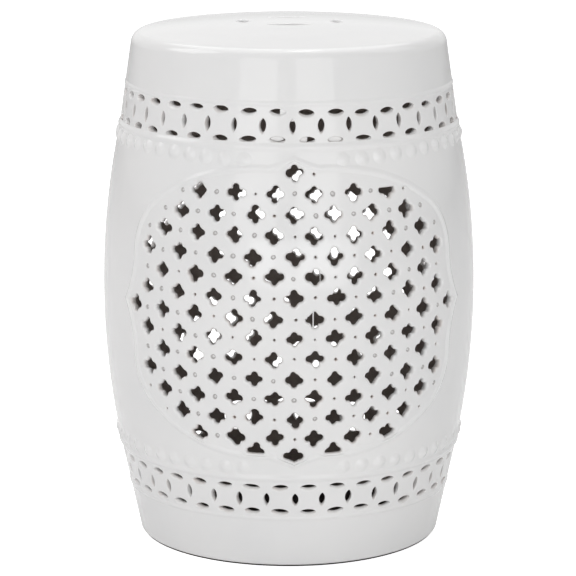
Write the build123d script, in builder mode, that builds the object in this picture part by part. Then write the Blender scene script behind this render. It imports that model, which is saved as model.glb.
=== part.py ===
from build123d import *
import os
from math import asin, cos, radians, sin, sqrt, tan

# A pierced ceramic drum stool: clay pieces luted together, open at the foot, with a domed seat.
# Millimetres, +Z up, origin on the floor under the centre. The medallions face -Y and +Y.

# Heights of the zones, stacked from the floor up
PAD_HEIGHT = 1.2
FOOT_HEIGHT = 45.0
LOWER_BAND_HEIGHT = 38.0
WALL_HEIGHT = 287.5
UPPER_BAND_HEIGHT = 36.0
SHOULDER_HEIGHT = 43.5
SEAT_CROWN = 9.0

# Radii of the outside
FOOT_RADIUS = 134.2
BELLY_RADIUS = 165.75
RIM_RADIUS = 138.0
WALL_ARC_RADIUS = 700.0
BELLY_RISE = 138.0

# Clay thicknesses and joints
WALL_THICKNESS = 7.0
SEAT_THICKNESS = 9.0
LAP = 5.0
SEAT_RADIUS = 124.0
LEDGE_WIDTH = 10.0
LEDGE_DEPTH = 8.0
HAUNCH_HEIGHT = 12.0
RIM_FILLET = 11.0
COIL_SIZE = 8.0
SEAM_WIDTH = 24.0
SEAM_THICKNESS = 3.0
SEAM_END_GAP = 4.0

# Foot ring and its pads
FOOT_WIDTH = 14.0
FOOT_FLANGE_HEIGHT = 6.0
FOOT_FILLET = 1.2
PAD_DIAMETER = 10.0
PAD_COUNT = 4

# Cords over the ring joints
BEAD_WIDTH = 3.0
BEAD_HEIGHT = 0.8
RIDGE_WIDTH = 5.0
RIDGE_HEIGHT = 1.5

# Coin fret in the two bands
UPPER_COINS = 38
LOWER_COINS = 39
FRET_ROW_OFFSET = 11.5
FLAT_LENS_LENGTH = 13.0
UPRIGHT_LENS_LENGTH = 11.6
LENS_WIDTH = 5.0

# Nail-head bosses, left out around the medallions' points
BOSSES_PER_TURN = 56
BOSS_DIAMETER = 12.4
BOSS_HEIGHT = 2.3
BOSS_INSET = 9.2
BOSS_GAP_ANGLE = 13.0

# Medallion: one quarter of its outline, as shares of its half angle and half height
MEDALLION_RISE = 145.1
MEDALLION_HALF_HEIGHT = 132.6
MEDALLION_HALF_ANGLE = 59.5
FRAME_WIDTH = 6.4
FRAME_HEIGHT = 1.8
OGEE_QUARTER = (
    ((0.0, 1.0), (0.06, 0.967), (0.135, 0.939)),
    ((0.135, 0.939), (0.454, 0.894), (0.765, 0.709)),
    ((0.765, 0.709), (0.888, 0.545), (0.924, 0.29)),
    ((0.924, 0.29), (0.945, 0.15), (1.0, 0.0)),
)

# Quatrefoil lattice: how many columns the holes reach in each row, from the middle row outwards
COLUMN_ANGLE = 6.13
ROW_PITCH = 17.54
LATTICE_DROP = 2.4
CORE_RADIUS = 5.0
LOBE_RADIUS = 2.3
LOBE_OFFSET = 4.7
HOLE_REACH = (9, 8, 7, 8, 7, 6, 5, 0)
LOW_HALF_HOLE_COLUMN = 2
LOW_HALF_HOLE_LIFT = 4.5

# Seat piercings
SEAT_LENS_WIDTH = 9.0
CROSS_LENS_LENGTH = 37.0
CROSS_LENS_OFFSET = 24.0
SIDE_LENS_LENGTH = 24.0
SIDE_LENS_OFFSET = 41.0

# Levels of the joints
Z_FOOT = PAD_HEIGHT
Z_LOWER_BAND = Z_FOOT + FOOT_HEIGHT
Z_WALL = Z_LOWER_BAND + LOWER_BAND_HEIGHT
Z_UPPER_BAND = Z_WALL + WALL_HEIGHT
Z_SHOULDER = Z_UPPER_BAND + UPPER_BAND_HEIGHT
Z_RIM = Z_SHOULDER + SHOULDER_HEIGHT
Z_TOP = Z_RIM + SEAT_CROWN
Z_BELLY = Z_WALL + BELLY_RISE
Z_MEDALLION = Z_WALL + MEDALLION_RISE
Z_LATTICE = Z_MEDALLION - LATTICE_DROP
Z_WALL_MIDDLE = (Z_WALL + Z_UPPER_BAND) / 2

DOME_RADIUS = (RIM_RADIUS**2 + SEAT_CROWN**2) / (2 * SEAT_CROWN)
LEDGE_RADIUS = SEAT_RADIUS - LEDGE_WIDTH
PIERCE_MARGIN = WALL_THICKNESS / 2
PIERCE_DEPTH = WALL_THICKNESS + 2 * PIERCE_MARGIN

os.makedirs("parts", exist_ok=True)


def wall_radius(z):
    """Outside radius of the barrel wall at height z."""
    return BELLY_RADIUS - WALL_ARC_RADIUS + sqrt(WALL_ARC_RADIUS**2 - (z - Z_BELLY) ** 2)


def outer_radius(z):
    """Outside radius of the drum: a barrel between two straight cones."""
    if z < Z_WALL:
        share = (z - Z_FOOT) / (Z_WALL - Z_FOOT)
        return FOOT_RADIUS + share * (wall_radius(Z_WALL) - FOOT_RADIUS)
    if z > Z_UPPER_BAND:
        share = (z - Z_UPPER_BAND) / (Z_RIM - Z_UPPER_BAND)
        top = wall_radius(Z_UPPER_BAND)
        return top + share * (RIM_RADIUS - top)
    return wall_radius(z)


def seat_height(radius):
    """Height of the domed top at a radius."""
    return Z_TOP - DOME_RADIUS + sqrt(DOME_RADIUS**2 - radius**2)


def outside(z, proud=0.0):
    """Section point on the outside, or proud of it."""
    return (outer_radius(z) + proud, z)


def middle(z):
    """Section point halfway through the clay."""
    return (outer_radius(z) - WALL_THICKNESS / 2, z)


def inside(z, proud=0.0):
    """Section point on the inside, or proud of it towards the axis."""
    return (outer_radius(z) - WALL_THICKNESS - proud, z)


def seat_point(radius, below=0.0):
    """Section point on the domed top, or below it."""
    return (radius, seat_height(radius) - below)


def section_plane(azimuth):
    """Upright plane through the axis, with its x axis pointing out at the azimuth from +X."""
    a = radians(azimuth)
    return Plane(origin=(0, 0, 0), x_dir=(cos(a), sin(a), 0), z_dir=(sin(a), -cos(a), 0))


def pierce_plane(angle, z):
    """Plane inside the clay that faces out, at an angle from the front."""
    a = radians(angle)
    radius = outer_radius(z) - WALL_THICKNESS - PIERCE_MARGIN
    return Plane(
        origin=(radius * sin(a), -radius * cos(a), z),
        x_dir=(cos(a), sin(a), 0),
        z_dir=(sin(a), -cos(a), 0),
    )


# Outline of a lens: two arcs that meet in points
def lens(length, width):
    radius = (length**2 + width**2) / (4 * width)
    with BuildSketch() as outline:
        with Locations((0, radius - width / 2)):
            Circle(radius)
        with Locations((0, width / 2 - radius)):
            Circle(radius, mode=Mode.INTERSECT)
    return outline.sketch


# Half-round clay cord luted over the joint at height z
def cord(z, width, height):
    with BuildPart() as ring:
        with BuildSketch(Plane.XZ):
            with BuildLine():
                for low, high in ((z - width / 2, z), (z, z + width / 2)):
                    if low >= Z_WALL and high <= Z_UPPER_BAND:
                        ThreePointArc(outside(low), outside((low + high) / 2), outside(high))
                    else:
                        Line(outside(low), outside(high))
                ThreePointArc(outside(z + width / 2), outside(z, height), outside(z - width / 2))
            make_face()
        revolve(axis=Axis.Z)
    return ring.part


# Ring pierced with a coin fret, with a tongue at each edge for the rebates of its neighbours
def fret_ring(low, high, coins):
    pitch = 360 / coins
    centre = (low + high) / 2
    rows = (centre - FRET_ROW_OFFSET, centre + FRET_ROW_OFFSET)
    upright = [pierce_plane(k * pitch, centre) for k in range(coins)]
    flat = [pierce_plane((k + 0.5) * pitch, z) for z in rows for k in range(coins)]
    with BuildPart() as ring:
        with BuildSketch(Plane.XZ):
            with BuildLine():
                Polyline(
                    outside(low),
                    outside(high),
                    middle(high),
                    (middle(high)[0], high + LAP),
                    inside(high + LAP),
                    inside(high),
                    inside(low),
                    inside(low - LAP),
                    (middle(low)[0], low - LAP),
                    middle(low),
                    close=True,
                )
            make_face()
        revolve(axis=Axis.Z)
        with BuildSketch(*upright):
            add(lens(UPRIGHT_LENS_LENGTH, LENS_WIDTH), rotation=90)
        extrude(amount=PIERCE_DEPTH, mode=Mode.SUBTRACT)
        with BuildSketch(*flat):
            add(lens(FLAT_LENS_LENGTH, LENS_WIDTH))
        extrude(amount=PIERCE_DEPTH, mode=Mode.SUBTRACT)
    return ring.part


# Medallion outline, inset along the wall, as a plug whose sides run out from the axis
def medallion_plug(inset):
    half_height = MEDALLION_HALF_HEIGHT - inset
    half_angle = MEDALLION_HALF_ANGLE - inset / radians(BELLY_RADIUS)
    inner = min(inside(Z_WALL)[0], inside(Z_UPPER_BAND)[0]) - PIERCE_MARGIN
    near = inner * cos(radians(half_angle))
    far = BELLY_RADIUS + FRAME_HEIGHT + PIERCE_MARGIN
    with BuildPart() as plug:
        for distance in (near, far):
            with BuildSketch(Plane.XZ.offset(distance)):
                with BuildLine():
                    for across in (1, -1):
                        for up in (1, -1):
                            for arc in OGEE_QUARTER:
                                ThreePointArc(*[
                                    (
                                        distance * tan(radians(across * share_x * half_angle)),
                                        Z_MEDALLION + up * share_z * half_height,
                                    )
                                    for share_x, share_z in arc
                                ])
                make_face()
        loft(ruled=True)
    return plug.part


# Row of domed nail-head bosses at height z, seated on the wall, on the half turn from an angle on
def boss_row(z, start):
    ball_radius = (BOSS_DIAMETER**2 / 4 + BOSS_HEIGHT**2) / (2 * BOSS_HEIGHT)
    sunk = ball_radius - BOSS_HEIGHT
    lean = asin((z - Z_BELLY) / WALL_ARC_RADIUS)
    ball_centre = (0, sunk * cos(lean) - outer_radius(z), z - sunk * sin(lean))
    pitch = 360 / BOSSES_PER_TURN
    angles = [(k + 0.5) * pitch for k in range(BOSSES_PER_TURN)]
    with BuildPart() as boss:
        with Locations(ball_centre):
            Sphere(ball_radius)
        add(drum_core.part, mode=Mode.SUBTRACT)
    kept = [a for a in angles if BOSS_GAP_ANGLE < a - start < 180 - BOSS_GAP_ANGLE]
    with BuildPart() as row:
        with Locations(*[Location((0, 0, 0), (0, 0, angle)) for angle in kept]):
            add(boss.part)
    return row.part


# Strip of clay pressed over a wall seam inside the drum
def seam_strip(azimuth):
    angle = SEAM_WIDTH / radians(BELLY_RADIUS)
    low = Z_WALL + LAP + SEAM_END_GAP
    high = Z_UPPER_BAND - LAP - SEAM_END_GAP
    centre = (low + high) / 2
    with BuildPart() as strip:
        with BuildSketch(section_plane(azimuth - angle / 2)):
            with BuildLine():
                ThreePointArc(inside(low), inside(centre), inside(high))
                Line(inside(high), inside(high, SEAM_THICKNESS))
                ThreePointArc(
                    inside(high, SEAM_THICKNESS), inside(centre, SEAM_THICKNESS), inside(low, SEAM_THICKNESS)
                )
                Line(inside(low, SEAM_THICKNESS), inside(low))
            make_face()
        revolve(axis=Axis.Z, revolution_arc=angle)
    return strip.part


# Turned through half a turn to the back
def turned(part):
    with BuildPart() as back:
        add(part, rotation=(0, 0, 180))
    return back.part


# Everything within the drum's outside, used to seat the bosses on the wall
with BuildPart() as drum_core:
    with BuildSketch(Plane.XZ):
        with BuildLine():
            Polyline((0, Z_FOOT), outside(Z_FOOT), outside(Z_WALL))
            ThreePointArc(outside(Z_WALL), outside(Z_WALL_MIDDLE), outside(Z_UPPER_BAND))
            Polyline(outside(Z_UPPER_BAND), outside(Z_RIM), (0, Z_RIM), (0, Z_FOOT))
        make_face()
    revolve(axis=Axis.Z)

# Foot pads
with BuildPart() as foot_pads:
    with BuildSketch():
        with PolarLocations(FOOT_RADIUS - FOOT_WIDTH / 2, PAD_COUNT, start_angle=180 / PAD_COUNT):
            Circle(PAD_DIAMETER / 2)
    extrude(amount=PAD_HEIGHT)

# Foot ring, open in the middle
with BuildPart() as foot_ring:
    flange_top = Z_FOOT + FOOT_FLANGE_HEIGHT
    flange_radius = FOOT_RADIUS - FOOT_WIDTH
    with BuildSketch(Plane.XZ) as foot_section:
        with BuildLine():
            Polyline(
                outside(Z_FOOT),
                outside(Z_LOWER_BAND),
                middle(Z_LOWER_BAND),
                (middle(Z_LOWER_BAND)[0], Z_LOWER_BAND - LAP),
                inside(Z_LOWER_BAND - LAP),
                inside(flange_top + FOOT_WIDTH - WALL_THICKNESS),
                (flange_radius, flange_top),
                (flange_radius, Z_FOOT),
                close=True,
            )
        make_face()
        fillet(foot_section.vertices().group_by(Axis.Y)[0], FOOT_FILLET)
    revolve(axis=Axis.Z)

# Pierced rings
lower_fret_ring = fret_ring(Z_LOWER_BAND, Z_WALL, LOWER_COINS)
upper_fret_ring = fret_ring(Z_UPPER_BAND, Z_SHOULDER, UPPER_COINS)

# Places of the lattice holes: every other crossing of the rows and columns
hole_planes = []
last_row = len(HOLE_REACH) - 1
for row in range(-last_row, last_row + 1):
    reach = HOLE_REACH[abs(row)]
    for column in range(-reach, reach + 1, 2):
        hole_planes.append(pierce_plane(column * COLUMN_ANGLE, Z_LATTICE + row * ROW_PITCH))
low_row = Z_LATTICE - last_row * ROW_PITCH + LOW_HALF_HOLE_LIFT
for column in (-LOW_HALF_HOLE_COLUMN, LOW_HALF_HOLE_COLUMN):
    hole_planes.append(pierce_plane(column * COLUMN_ANGLE, low_row))

# Quatrefoil holes, trimmed where they would run into the medallion's frame
with BuildPart() as lattice_cutter:
    with BuildSketch(*hole_planes):
        Circle(CORE_RADIUS)
        with PolarLocations(LOBE_OFFSET, 4):
            Circle(LOBE_RADIUS)
    extrude(amount=PIERCE_DEPTH)
    add(medallion_plug(FRAME_WIDTH / 2), mode=Mode.INTERSECT)

# Half-shell walls with rebates for the fret rings' tongues, butted along the side seams
with BuildPart() as front_wall:
    with BuildSketch(section_plane(180)):
        with BuildLine():
            ThreePointArc(outside(Z_WALL), outside(Z_WALL_MIDDLE), outside(Z_UPPER_BAND))
            Polyline(
                outside(Z_UPPER_BAND),
                middle(Z_UPPER_BAND),
                (middle(Z_UPPER_BAND)[0], Z_UPPER_BAND - LAP),
                inside(Z_UPPER_BAND - LAP),
            )
            ThreePointArc(inside(Z_UPPER_BAND - LAP), inside(Z_WALL_MIDDLE), inside(Z_WALL + LAP))
            Polyline(
                inside(Z_WALL + LAP),
                (middle(Z_WALL)[0], Z_WALL + LAP),
                middle(Z_WALL),
                outside(Z_WALL),
            )
        make_face()
    revolve(axis=Axis.Z, revolution_arc=180)
    add(lattice_cutter.part, mode=Mode.SUBTRACT)

# Medallion frame luted onto the wall
with BuildPart() as front_medallion_frame:
    with BuildSketch(section_plane(180)):
        with BuildLine():
            ThreePointArc(outside(Z_WALL), outside(Z_WALL_MIDDLE), outside(Z_UPPER_BAND))
            Line(outside(Z_UPPER_BAND), outside(Z_UPPER_BAND, FRAME_HEIGHT))
            ThreePointArc(
                outside(Z_UPPER_BAND, FRAME_HEIGHT),
                outside(Z_WALL_MIDDLE, FRAME_HEIGHT),
                outside(Z_WALL, FRAME_HEIGHT),
            )
            Line(outside(Z_WALL, FRAME_HEIGHT), outside(Z_WALL))
        make_face()
    revolve(axis=Axis.Z, revolution_arc=180)
    add(medallion_plug(-FRAME_WIDTH / 2), mode=Mode.INTERSECT)
    add(medallion_plug(FRAME_WIDTH / 2), mode=Mode.SUBTRACT)

# Shoulder ring with a ledge for the seat
with BuildPart() as shoulder_ring:
    ledge_bottom = seat_point(LEDGE_RADIUS, SEAT_THICKNESS + LEDGE_DEPTH)
    with BuildSketch(Plane.XZ) as shoulder_section:
        with BuildLine():
            Line(outside(Z_SHOULDER), outside(Z_RIM))
            ThreePointArc(outside(Z_RIM), seat_point((RIM_RADIUS + SEAT_RADIUS) / 2), seat_point(SEAT_RADIUS))
            Line(seat_point(SEAT_RADIUS), seat_point(SEAT_RADIUS, SEAT_THICKNESS))
            ThreePointArc(
                seat_point(SEAT_RADIUS, SEAT_THICKNESS),
                seat_point((SEAT_RADIUS + LEDGE_RADIUS) / 2, SEAT_THICKNESS),
                seat_point(LEDGE_RADIUS, SEAT_THICKNESS),
            )
            Polyline(
                seat_point(LEDGE_RADIUS, SEAT_THICKNESS),
                ledge_bottom,
                inside(ledge_bottom[1] - HAUNCH_HEIGHT),
                inside(Z_SHOULDER + LAP),
                (middle(Z_SHOULDER)[0], Z_SHOULDER + LAP),
                middle(Z_SHOULDER),
                outside(Z_SHOULDER),
            )
        make_face()
        fillet(shoulder_section.vertices().sort_by_distance(outside(Z_RIM))[0], RIM_FILLET)
    revolve(axis=Axis.Z)

# Domed seat with four pierced lenses
with BuildPart() as seat_disc:
    with BuildSketch(Plane.XZ):
        with BuildLine():
            ThreePointArc(seat_point(0), seat_point(SEAT_RADIUS / 2), seat_point(SEAT_RADIUS))
            Line(seat_point(SEAT_RADIUS), seat_point(SEAT_RADIUS, SEAT_THICKNESS))
            ThreePointArc(
                seat_point(SEAT_RADIUS, SEAT_THICKNESS),
                seat_point(SEAT_RADIUS / 2, SEAT_THICKNESS),
                seat_point(0, SEAT_THICKNESS),
            )
            Line(seat_point(0, SEAT_THICKNESS), seat_point(0))
        make_face()
    revolve(axis=Axis.Z)
    with BuildSketch(Plane.XY.offset(Z_TOP)):
        with Locations((0, CROSS_LENS_OFFSET), (0, -CROSS_LENS_OFFSET)):
            add(lens(CROSS_LENS_LENGTH, SEAT_LENS_WIDTH))
        with Locations((SIDE_LENS_OFFSET, 0), (-SIDE_LENS_OFFSET, 0)):
            add(lens(SIDE_LENS_LENGTH, SEAT_LENS_WIDTH), rotation=90)
    extrude(amount=-SEAT_CROWN - SEAT_THICKNESS, mode=Mode.SUBTRACT)

# Coil pressed into the corner under the seat
with BuildPart() as seat_coil:
    corner = seat_point(LEDGE_RADIUS, SEAT_THICKNESS)
    inner_end = seat_point(LEDGE_RADIUS - COIL_SIZE, SEAT_THICKNESS)
    lower_end = (LEDGE_RADIUS, corner[1] - COIL_SIZE)
    bulge = (LEDGE_RADIUS - COIL_SIZE * cos(radians(45)), corner[1] - COIL_SIZE * sin(radians(45)))
    with BuildSketch(Plane.XZ):
        with BuildLine():
            ThreePointArc(corner, seat_point(LEDGE_RADIUS - COIL_SIZE / 2, SEAT_THICKNESS), inner_end)
            ThreePointArc(inner_end, bulge, lower_end)
            Line(lower_end, corner)
        make_face()
    revolve(axis=Axis.Z)

PIECES = {
    "foot_pads": foot_pads.part,
    "foot_ring": foot_ring.part,
    "lower_bead": cord(Z_LOWER_BAND, BEAD_WIDTH, BEAD_HEIGHT),
    "lower_fret_ring": lower_fret_ring,
    "lower_ridge_ring": cord(Z_WALL, RIDGE_WIDTH, RIDGE_HEIGHT),
    "lower_right_bosses": boss_row(Z_WALL + BOSS_INSET, 0),
    "lower_left_bosses": boss_row(Z_WALL + BOSS_INSET, 180),
    "front_wall": front_wall.part,
    "rear_wall": turned(front_wall.part),
    "left_seam_strip": seam_strip(180),
    "right_seam_strip": seam_strip(0),
    "front_medallion_frame": front_medallion_frame.part,
    "rear_medallion_frame": turned(front_medallion_frame.part),
    "upper_right_bosses": boss_row(Z_UPPER_BAND - BOSS_INSET, 0),
    "upper_left_bosses": boss_row(Z_UPPER_BAND - BOSS_INSET, 180),
    "upper_ridge_ring": cord(Z_UPPER_BAND, RIDGE_WIDTH, RIDGE_HEIGHT),
    "upper_fret_ring": upper_fret_ring,
    "upper_bead": cord(Z_SHOULDER, BEAD_WIDTH, BEAD_HEIGHT),
    "shoulder_ring": shoulder_ring.part,
    "seat_disc": seat_disc.part,
    "seat_coil": seat_coil.part,
}

for name, piece in PIECES.items():
    piece.label = name
    export_step(piece, f"parts/{name}.step")
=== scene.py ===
import math
import random

import bpy
import numpy as np
from mathutils import Matrix, Vector
from mathutils.geometry import delaunay_2d_cdt


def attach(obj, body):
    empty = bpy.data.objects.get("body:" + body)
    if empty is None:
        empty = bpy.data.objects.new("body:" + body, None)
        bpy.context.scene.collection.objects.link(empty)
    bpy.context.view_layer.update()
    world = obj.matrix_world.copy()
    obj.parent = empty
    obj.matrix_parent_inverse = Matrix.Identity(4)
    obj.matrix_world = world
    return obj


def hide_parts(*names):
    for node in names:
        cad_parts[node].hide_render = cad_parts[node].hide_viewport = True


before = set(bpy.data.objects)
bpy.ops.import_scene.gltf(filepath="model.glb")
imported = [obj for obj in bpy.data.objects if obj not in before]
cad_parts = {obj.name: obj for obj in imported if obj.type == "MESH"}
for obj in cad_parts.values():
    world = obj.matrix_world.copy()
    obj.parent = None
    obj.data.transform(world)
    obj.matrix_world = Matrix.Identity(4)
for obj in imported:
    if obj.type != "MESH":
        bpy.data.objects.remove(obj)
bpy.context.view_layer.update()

# Levels and sizes in millimetres, the same as the CAD's
Z_FOOT, Z_LOWER_BAND, Z_WALL = 1.2, 46.2, 84.2
Z_UPPER_BAND, Z_SHOULDER, Z_RIM, Z_TOP = 371.7, 407.7, 451.2, 460.2
FOOT_RADIUS, BELLY_RADIUS, RIM_RADIUS = 134.2, 165.75, 138.0
ARC_RADIUS, Z_BELLY = 700.0, 222.2
WALL, SEAT_THICKNESS, SEAT_RADIUS, LEDGE_RADIUS = 7.0, 9.0, 124.0, 114.0
LEDGE_DEPTH, HAUNCH_HEIGHT, RIM_FILLET = 8.0, 12.0, 11.0
FOOT_WIDTH, FLANGE_HEIGHT, FLANGE_FILLET = 14.0, 6.0, 1.2
UPPER_COINS, LOWER_COINS, FRET_ROW_OFFSET = 38, 39, 11.5
BOSSES_PER_TURN, BOSS_INSET, BOSS_GAP = 56, 9.2, math.radians(13)
CROSS_LENS, CROSS_LENS_OFFSET = (37.0, 9.0), 24
DOME_RADIUS = (RIM_RADIUS**2 + (Z_TOP - Z_RIM) ** 2) / (2 * (Z_TOP - Z_RIM))
Z_DOME = Z_TOP - DOME_RADIUS

# Medallion and lattice, also the CAD's: the reach is how many columns the holes of a row go out to
Z_MEDALLION, HALF_HEIGHT, HALF_ANGLE = 229.3, 132.6, math.radians(59.5)
COLUMN_ANGLE, HALF_HOLE_COLUMN, HALF_HOLE_LIFT = math.radians(6.13), 2, 4.5
HOLE_REACH = (9, 8, 7, 8, 7, 6, 5, 0)
LOWEST_ROW = 1 - len(HOLE_REACH)
OGEE_QUARTER = (
    ((0.0, 1.0), (0.06, 0.967), (0.135, 0.939)),
    ((0.135, 0.939), (0.454, 0.894), (0.765, 0.709)),
    ((0.765, 0.709), (0.888, 0.545), (0.924, 0.29)),
    ((0.924, 0.29), (0.945, 0.15), (1.0, 0.0)),
)

# Cuts as made by hand, a little off the CAD's, and the dots that the CAD leaves out
Z_LATTICE, ROW_PITCH, LOWEST_LIFT = 227.4, 17.63, 1.2
CORE_RADIUS, LOBE_OFFSETS, LOBE_RADIUS = 5.0, (4.85, 4.35), 2.8
DOT_REACH, LOW_DOT_COLUMN = (8, 9, 8, 7, 8, 7, 6, 1), 3
DOT_RADIUS, PIT_DEPTH, CLOSED_DEPTHS = 0.95, 5.2, (1.3, 1.8)
DOT_FRAME_ROOM, DOT_HOLE_ROOM = 4.4, 13
SIDE_LENS, SIDE_LENS_PLACES = (20.0, 8.0), ((42, 1), (-40, 4))
SILL_DEPTH, LENS_SKEW = 2.8, 0.15

# Glaze-softened relief: half widths and heights, edges and flares of the cuts, and depths in the wall
FRAME_HALF, FRAME_RISE, FRAME_CLEAR = 3.9, 1.3, 1.2
RIDGE_HALF, RIDGE_RISE = 4.2, 1.5
BEAD_HALF, BEAD_RISE = 2.8, 0.7
BOSS_SKIRT, BOSS_RISE = 7.4, 2.3
HOLE_EDGE, LENS_EDGE, DOT_EDGE, SEAT_EDGE = 2.3, 0.9, 1.5, 3.0
HOLE_FLARE, LENS_FLARE = 1.7, 0.9
FOOT_ROUND = 2.4
LUTED, CORD_SINK, BOSS_SINK = 0.8, 0.04, 0.03

# Fineness of the meshes
TURN_STEPS, BOSS_STEPS, STRAND_STEPS = 216, 28, 8
WALL_SPACING, FRET_SPACING, SEAT_SPACING = 4.0, 3.6, 4.5

# Faces are glazed or bare clay
GLAZED, BARE = 0, 1


# Outside of the drum
def wall_radius(z):
    return BELLY_RADIUS - ARC_RADIUS + np.sqrt(ARC_RADIUS**2 - (z - Z_BELLY) ** 2)


R_LOW, R_HIGH = float(wall_radius(Z_WALL)), float(wall_radius(Z_UPPER_BAND))


def outer_radius(z):
    z = np.asarray(z, float)
    low = FOOT_RADIUS + (z - Z_FOOT) / (Z_WALL - Z_FOOT) * (R_LOW - FOOT_RADIUS)
    high = R_HIGH + (z - Z_UPPER_BAND) / (Z_RIM - Z_UPPER_BAND) * (RIM_RADIUS - R_HIGH)
    middle = wall_radius(np.clip(z, Z_WALL, Z_UPPER_BAND))
    return np.where(z < Z_WALL, low, np.where(z > Z_UPPER_BAND, high, middle))


def lean(z):
    """Angle by which the outside faces upwards at each height."""
    z = np.asarray(z, float)
    low = -math.atan((R_LOW - FOOT_RADIUS) / (Z_WALL - Z_FOOT))
    high = math.atan((R_HIGH - RIM_RADIUS) / (Z_RIM - Z_UPPER_BAND))
    middle = np.arcsin((np.clip(z, Z_WALL, Z_UPPER_BAND) - Z_BELLY) / ARC_RADIUS)
    return np.where(z < Z_WALL, low, np.where(z > Z_UPPER_BAND, high, middle))


def seat_height(r):
    return Z_DOME + np.sqrt(DOME_RADIUS**2 - np.asarray(r, float) ** 2)


class Drum:
    """The drum's outside as a sheet: distance round it at the belly, height, and depth into the clay."""

    def place(self, p, depth):
        a = p[:, 0] / BELLY_RADIUS
        r = outer_radius(p[:, 1]) - depth
        return np.stack([r * np.sin(a), -r * np.cos(a), p[:, 1]], 1)

    def normal(self, p):
        a = p[:, 0] / BELLY_RADIUS
        t = lean(p[:, 1])
        return np.stack([np.cos(t) * np.sin(a), -np.cos(t) * np.cos(a), np.sin(t)], 1)

    def scale(self, z):
        return BELLY_RADIUS / float(outer_radius(z))


class Seat:
    """The domed top as a sheet: x, y and depth below it."""

    def place(self, p, depth):
        return np.stack([p[:, 0], p[:, 1], seat_height(np.hypot(p[:, 0], p[:, 1])) - depth], 1)

    def normal(self, p):
        return self.place(p, Z_DOME) / DOME_RADIUS

    def scale(self, y):
        return 1.0


DRUM, SEAT = Drum(), Seat()


class Skin:
    """Vertices, normals and faces of one piece, with how thin the glaze is, and below 0 how dark the painted
    shade in a crease is.
    """

    def __init__(self):
        self.points, self.normals, self.thin, self.faces, self.kinds = [], [], [], [], []
        self.count = 0

    def add(self, points, normals=None, thin=0.0):
        points = np.asarray(points, float)
        added = self.count + np.arange(len(points))
        self.points.append(points)
        self.normals.append(np.zeros_like(points) if normals is None else np.asarray(normals, float))
        self.thin.append(np.broadcast_to(np.asarray(thin, float), (len(points),)))
        self.count += len(points)
        return added

    def face(self, corners, kind=GLAZED):
        self.faces.append([int(c) for c in corners])
        self.kinds.append(kind)

    def strip(self, first, second, kind=GLAZED):
        for corners in zip(first, np.roll(first, -1), np.roll(second, -1), second):
            self.face(corners, kind)

    def strips(self, rows, kind=GLAZED):
        for first, second in zip(rows[:-1], rows[1:]):
            self.strip(first, second, kind)

    def build(self, name, sharp=None):
        mesh = bpy.data.meshes.new(name)
        points = np.concatenate(self.points) * 0.001
        mesh.from_pydata(points.tolist(), [], self.faces)
        mesh.materials.append(GLAZE)
        mesh.materials.append(CLAY)
        mesh.polygons.foreach_set("material_index", self.kinds)
        mesh.polygons.foreach_set("use_smooth", [True] * len(self.faces))
        layer = mesh.attributes.new("thin", "FLOAT", "POINT")
        layer.data.foreach_set("value", np.concatenate(self.thin).astype(np.float32))
        if sharp is not None:
            mesh.set_sharp_from_angle(angle=math.radians(sharp))
        normals = np.concatenate(self.normals)
        if np.abs(normals).max() > 0:
            mesh.normals_split_custom_set_from_vertices(normals.tolist())
        mesh.update()
        obj = bpy.data.objects.new(name, mesh)
        bpy.context.scene.collection.objects.link(obj)
        return obj


# Places of points against a closed outline
def gap_to(points, loop):
    along = np.roll(loop, -1, axis=0) - loop
    away = points[:, None] - loop
    t = np.clip((away * along).sum(2) / (along * along).sum(1), 0, 1)
    return np.linalg.norm(away - t[..., None] * along, axis=2).min(1)


def inside(points, loop):
    x, y = points[:, 0, None], points[:, 1, None]
    a, b = loop, np.roll(loop, -1, axis=0)
    crosses = (a[:, 1] > y) != (b[:, 1] > y)
    rise = np.where(np.abs(b[:, 1] - a[:, 1]) < 1e-9, 1e-9, b[:, 1] - a[:, 1])
    at = a[:, 0] + (y - a[:, 1]) / rise * (b[:, 0] - a[:, 0])
    return (crosses & (x < at)).sum(1) % 2 == 1


# Outlines of piercings, each a function of how far outside the cut the ring lies and of its depth
def smooth_loop(values, sigma):
    reach = max(1, int(3 * sigma))
    offsets = np.arange(-reach, reach + 1)
    weights = np.exp(-0.5 * (offsets / sigma) ** 2)
    weights /= weights.sum()
    return sum(w * np.roll(values, k, axis=0) for k, w in zip(offsets, weights))


def quatrefoil(rng, size, steps=80):
    phi = np.arange(steps) * 2 * math.pi / steps
    turn = rng.gauss(0, 0.05)
    core = size * (CORE_RADIUS + rng.gauss(0, 0.2))
    lobes = []
    for k in range(4):
        angle = turn + k * math.pi / 2 + rng.gauss(0, 0.08)
        reach = LOBE_OFFSETS[k % 2] + rng.gauss(0, 0.4)
        lobes.append((angle, size * reach, size * (LOBE_RADIUS + rng.gauss(0, 0.3))))

    def ring(offset, depth=0.0):
        r = np.full(steps, core + offset)
        for angle, reach, radius in lobes:
            d = (phi - angle + math.pi) % (2 * math.pi) - math.pi
            square = (radius + offset) ** 2 - (reach * np.sin(d)) ** 2
            edge = reach * np.cos(d) + np.sqrt(np.maximum(square, 0))
            r = np.where((square > 0) & (np.cos(d) > 0) & (edge > r), edge, r)
        r = smooth_loop(r, 0.9)
        return np.stack([r * np.cos(phi), r * np.sin(phi)], 1)

    return ring


def capped(ring, top, bend=2.5):
    """The same piercing with its upper lobe left uncut."""

    def cut(offset, depth=0.0):
        p = ring(offset, depth)
        room = top + offset - p[:, 1]
        return np.stack([p[:, 0], top + offset - np.logaddexp(0, bend * room) / bend], 1)

    return cut


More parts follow.
